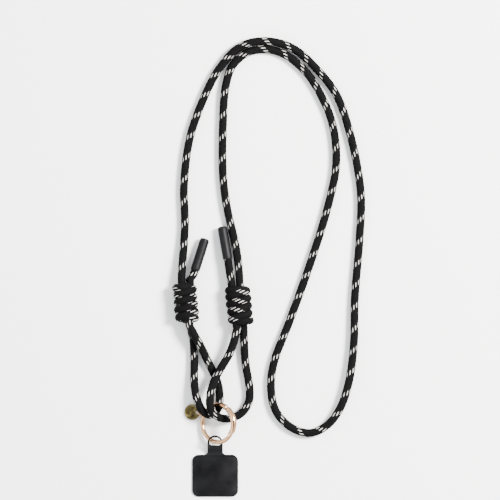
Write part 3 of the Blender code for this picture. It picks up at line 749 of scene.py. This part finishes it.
def make_link():
    """The tag's link: a stretched loop of thin wire."""
    half = (LINK_HEIGHT - LINK_WIRE_D) / 2
    straight = LINK_REACH - half
    bm = bmesh.new()
    ring = bmesh.ops.create_circle(bm, cap_ends=False, segments=16, radius=LINK_WIRE_D / 2)["verts"]
    bmesh.ops.rotate(bm, verts=ring, cent=(0, 0, 0), matrix=Matrix.Rotation(math.pi / 2, 3, "Y"))
    bmesh.ops.translate(bm, verts=ring, vec=(0, -half, 0))
    ring = list(ring)
    for centre, slide in ((straight, straight), (0.0, -straight)):
        edges = [e for e in bm.edges if all(v in set(ring) for v in e.verts)]
        grown = bmesh.ops.extrude_edge_only(bm, edges=edges)["geom"]
        ring = [g for g in grown if isinstance(g, bmesh.types.BMVert)]
        bmesh.ops.translate(bm, verts=ring, vec=(slide, 0, 0))
        edges = [e for e in bm.edges if all(v in set(ring) for v in e.verts)]
        swept = bmesh.ops.spin(
            bm, geom=ring + edges, cent=(centre, 0, 0), axis=(0, 0, 1), angle=math.pi, steps=20
        )
        ring = [g for g in swept["geom_last"] if isinstance(g, bmesh.types.BMVert)]
    bmesh.ops.remove_doubles(bm, verts=bm.verts[:], dist=WELD)
    bmesh.ops.recalc_face_normals(bm, faces=bm.faces[:])
    bm.transform(link_frame())
    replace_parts(finished("tag_link_wire", bm, (GOLD,), "strap"), "tag_link")


def cut_hole(bm, cutter):
    """The piece with the cutter taken out of it."""
    made = []
    for name, part in (("body", bm), ("cutter", cutter)):
        mesh = bpy.data.meshes.new(name)
        part.to_mesh(mesh)
        part.free()
        made.append(bpy.data.objects.new(name, mesh))
        bpy.context.scene.collection.objects.link(made[-1])
    cut = made[0].modifiers.new("cut", "BOOLEAN")
    cut.operation = "DIFFERENCE"
    cut.solver = "EXACT"
    cut.object = made[1]
    bpy.context.view_layer.update()
    mesh = bpy.data.meshes.new_from_object(made[0].evaluated_get(bpy.context.evaluated_depsgraph_get()))
    result = bmesh.new()
    result.from_mesh(mesh)
    for old in made:
        bpy.data.objects.remove(old, do_unlink=True)
    return result


def make_tag():
    """The blank tag: a raised rim and an eyelet round its hole, both in millimetres."""
    profile = [
        (0.0, 0.28), (4.75, 0.28), (4.95, 0.30), (5.10, 0.38), (5.22, 0.46), (5.36, 0.50), (5.62, 0.50),
        (5.80, 0.45), (5.93, 0.33), (6.0, 0.16), (6.0, -0.16), (5.93, -0.33), (5.80, -0.45), (5.62, -0.50),
        (0.0, -0.50),
    ]
    bm = spun([(radius * MM, height * MM) for radius, height in profile], 72)
    hole = rounded_disc(TAG_HOLE_D, 0.004, 0.0, 0.0001)
    hole.transform(Matrix.Translation((-TAG_HOLE_OFFSET, 0, 0)))
    bm = cut_hole(bm, hole)
    lip = [(1.1, 0.50), (1.28, 0.56), (1.5, 0.50), (1.6, 0.24), (1.1, 0.24)]
    eyelet = spun([(radius * MM, height * MM) for radius, height in lip], 32, closed=True)
    eyelet.transform(Matrix.Translation((-TAG_HOLE_OFFSET, 0, 0)))
    bm = merged([bm, eyelet])
    hole_at = link_frame() @ Vector((LINK_REACH, 0, 0))
    drop = (TAG_HOLE_OFFSET + TAG_RADIUS) * math.sin(math.radians(TAG_TILT)) + TAG_THICKNESS / 2
    lean = Matrix.Rotation(math.radians(TAG_TURN), 4, "Z") @ Matrix.Rotation(math.radians(TAG_TILT), 4, "Y")
    offset = lean.to_3x3() @ Vector((TAG_HOLE_OFFSET, 0, 0))
    middle = Vector((hole_at.x, hole_at.y, drop + CLEARANCE)) + offset
    bm.transform(Matrix.Translation(middle) @ lean)
    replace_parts(finished("tag_disc", bm, (BRONZE,), "strap"), "tag")


# Tab and pad


def arc(x, y, width, height, start, end, steps):
    """Points on part of an ellipse."""
    turns = [math.radians(start + (end - start) * n / steps) for n in range(steps + 1)]
    return [(x + width * math.cos(t), y + height * math.sin(t)) for t in turns]


def tab_outline():
    """The outline of the tab's round end, its tongue and the pad."""
    half = TAB_WIDTH / 2
    shoulder = TAB_TOP - TONGUE_LENGTH
    foot = shoulder - PAD_LENGTH
    side = PAD_WIDTH / 2 - PAD_CORNER
    root = PAD_CORNER / 2
    return [
        *arc(TAB_X, TAB_TOP - half, half, half, 0, 180, 36),
        *arc(TAB_X - half - root, shoulder + root, root, root, 0, -90, 10),
        *arc(TAB_X - side, shoulder - PAD_CORNER, PAD_CORNER, PAD_CORNER, 90, 180, 14),
        *arc(TAB_X - side, foot + PAD_CORNER, PAD_CORNER, PAD_CORNER, 180, 270, 14),
        *arc(TAB_X + side, foot + PAD_CORNER, PAD_CORNER, PAD_CORNER, 270, 360, 14),
        *arc(TAB_X + side, shoulder - PAD_CORNER, PAD_CORNER, PAD_CORNER, 0, 90, 14),
        *arc(TAB_X + half + root, shoulder + root, root, root, 270, 180, 10),
    ]


def tab_hole():
    """The outline of the tab's slot for the ring, arched at its top."""
    half = TAB_WIDTH / 2 - TAB_STROKE
    top = TAB_TOP - TAB_STROKE
    arch = half * TAB_HOLE_ARCH
    corner = half * TAB_HOLE_CORNER
    bottom = top - TAB_HOLE_LENGTH
    return [
        *arc(TAB_X, top - arch, half, arch, 180, 0, 30),
        *arc(TAB_X + half - corner, bottom + corner, corner, corner, 0, -90, 8),
        *arc(TAB_X - half + corner, bottom + corner, corner, corner, -90, -180, 8),
    ]


def tab_lift(x, y):
    """How far the tongue rises off the floor towards the ring, twisted a little."""
    share = min(1.0, max(0.0, (y - RISE_START) / RISE_LENGTH))
    eased = share * share * (3 - 2 * share)
    return eased * (TAB_RISE - math.tan(math.radians(TAB_TWIST)) * (x - TAB_X))


def flat_plate(outlines, thickness):
    """A flat plate between its outlines."""
    curve = bpy.data.curves.new("outline", "CURVE")
    curve.dimensions = "2D"
    curve.fill_mode = "BOTH"
    curve.extrude = thickness / 2
    for points in outlines:
        spline = curve.splines.new("POLY")
        spline.points.add(len(points) - 1)
        for point, (x, y) in zip(spline.points, points):
            point.co = (x, y, 0, 1)
        spline.use_cyclic_u = True
    flat = bpy.data.objects.new("outline", curve)
    bpy.context.scene.collection.objects.link(flat)
    bpy.context.view_layer.update()
    mesh = bpy.data.meshes.new_from_object(flat.evaluated_get(bpy.context.evaluated_depsgraph_get()))
    bpy.data.objects.remove(flat, do_unlink=True)
    bm = bmesh.new()
    bm.from_mesh(mesh)
    bmesh.ops.remove_doubles(bm, verts=bm.verts[:], dist=OUTLINE_WELD)
    bmesh.ops.recalc_face_normals(bm, faces=bm.faces[:])
    return bm


def make_tab():
    """The tab and its pad: one plate, its rims rounded, its tongue bent up in fine steps."""
    plate = flat_plate((tab_outline(), tab_hole()), TAB_THICKNESS)
    square = (1.2, 1.9)
    rims = [e for e in plate.edges if len(e.link_faces) == 2 and square[0] < e.calc_face_angle() < square[1]]
    rims = [e for e in rims if abs(e.verts[0].co.z - e.verts[1].co.z) < TAB_THICKNESS / 4]
    bmesh.ops.bevel(
        plate, geom=rims, offset=TAB_ROUNDING, offset_type="OFFSET", segments=3, profile=0.5,
        affect="EDGES", material=-1,
    )
    for row in range(RISE_CUTS):
        y = RISE_START + (TAB_TOP - RISE_START) * row / RISE_CUTS
        bmesh.ops.bisect_plane(
            plate, geom=plate.verts[:] + plate.edges[:] + plate.faces[:], dist=WELD,
            plane_co=(0, y, 0), plane_no=(0, 1, 0),
        )
    bmesh.ops.triangulate(plate, faces=plate.faces[:])
    for vert in plate.verts:
        vert.co.z += TAB_THICKNESS / 2 + tab_lift(vert.co.x, vert.co.y)
    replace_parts(finished("anchor_tab_plate", plate, (TAB,), "strap", smooth_angle=50.0), "anchor_tab")


# Everything on the strap

for side in KNOTS:
    make_knot(side)
    sleeve = make_sleeve(side)
    cord_piece(
        f"tail_{side}_rope", f"tail_{side}", tail_points(side), TAIL_PHASE,
    )
    cord_piece(
        f"loop_{side}_rope", f"loop_{side}",
        [*knot_strand(side, -1, -1), *LOOP_ROUTES[side], *reversed(knot_strand(side, -1, 1))],
        LOOP_PHASES[side],
    )
cord_piece(
    "neck_rope", "neck_cord",
    [*knot_strand("left", 1, -1), *NECK_ROUTE, *reversed(knot_strand("right", 1, 1))],
    NECK_PHASE,
)
make_ring()
make_link()
make_tag()
make_tab()

# Floor and light

# How bright the room is by height: dim near the floor, bright walls and ceiling, dark overhead
SKY_TONES = ((0.04, 0.06), (0.42, 1.0), (0.90, 1.0), (0.955, 0.05))
SKY_STRENGTH = 2.3
SKY_TINT = (0.97, 0.98, 1.0)
FLOOR_HALF_WIDTH = 6.0
FLOOR_DROP = 0.0002
FLOOR_COLOUR = (0.93, 0.93, 0.93, 1.0)

floor_mesh = bpy.data.meshes.new("floor")
floor_shape = bmesh.new()
bmesh.ops.create_grid(floor_shape, x_segments=1, y_segments=1, size=FLOOR_HALF_WIDTH)
floor_shape.to_mesh(floor_mesh)
floor_shape.free()
floor = bpy.data.objects.new("floor", floor_mesh)
bpy.context.scene.collection.objects.link(floor)
floor.location.z = -FLOOR_DROP
paper = Nodes("paper")
floor_mesh.materials.append(paper.surface(Base_Color=FLOOR_COLOUR, Roughness=0.9))


def soft_box(name, place, target, size, power, colour):
    """A rectangular area light, in watts, turned to its target."""
    light = bpy.data.lights.new(name, "AREA")
    light.shape = "RECTANGLE"
    light.size, light.size_y = size
    light.energy = power
    light.color = colour
    lamp = bpy.data.objects.new(name, light)
    bpy.context.scene.collection.objects.link(lamp)
    lamp.location = place
    lamp.rotation_euler = (Vector(target) - Vector(place)).to_track_quat("-Z", "Y").to_euler()


soft_box("key", (1.15, 0.55, 1.35), (0.05, 0.05, 0), (0.5, 0.5), 190.0, (1.0, 0.985, 0.96))
soft_box("fill", (-1.4, -0.4, 1.3), (0, 0, 0), (1.4, 1.4), 16.0, (0.96, 0.98, 1.0))

world = bpy.data.worlds.new("studio")
bpy.context.scene.world = world
world.use_nodes = True
sky = world.node_tree.nodes
background = sky["Background"]
background.inputs["Strength"].default_value = SKY_STRENGTH
direction = sky.new("ShaderNodeTexCoord")
height = sky.new("ShaderNodeSeparateXYZ")
tones = sky.new("ShaderNodeValToRGB")
tones.color_ramp.elements.new(0.5)
tones.color_ramp.elements.new(0.6)
for band, (place, tone) in zip(tones.color_ramp.elements, SKY_TONES):
    band.position = place
    band.color = (*(tone * part for part in SKY_TINT), 1.0)
for start, end in (
    (direction.outputs["Generated"], height.inputs["Vector"]),
    (height.outputs["Z"], tones.inputs["Fac"]),
    (tones.outputs["Color"], background.inputs["Color"]),
):
    world.node_tree.links.new(start, end)

bpy.context.view_layer.update()
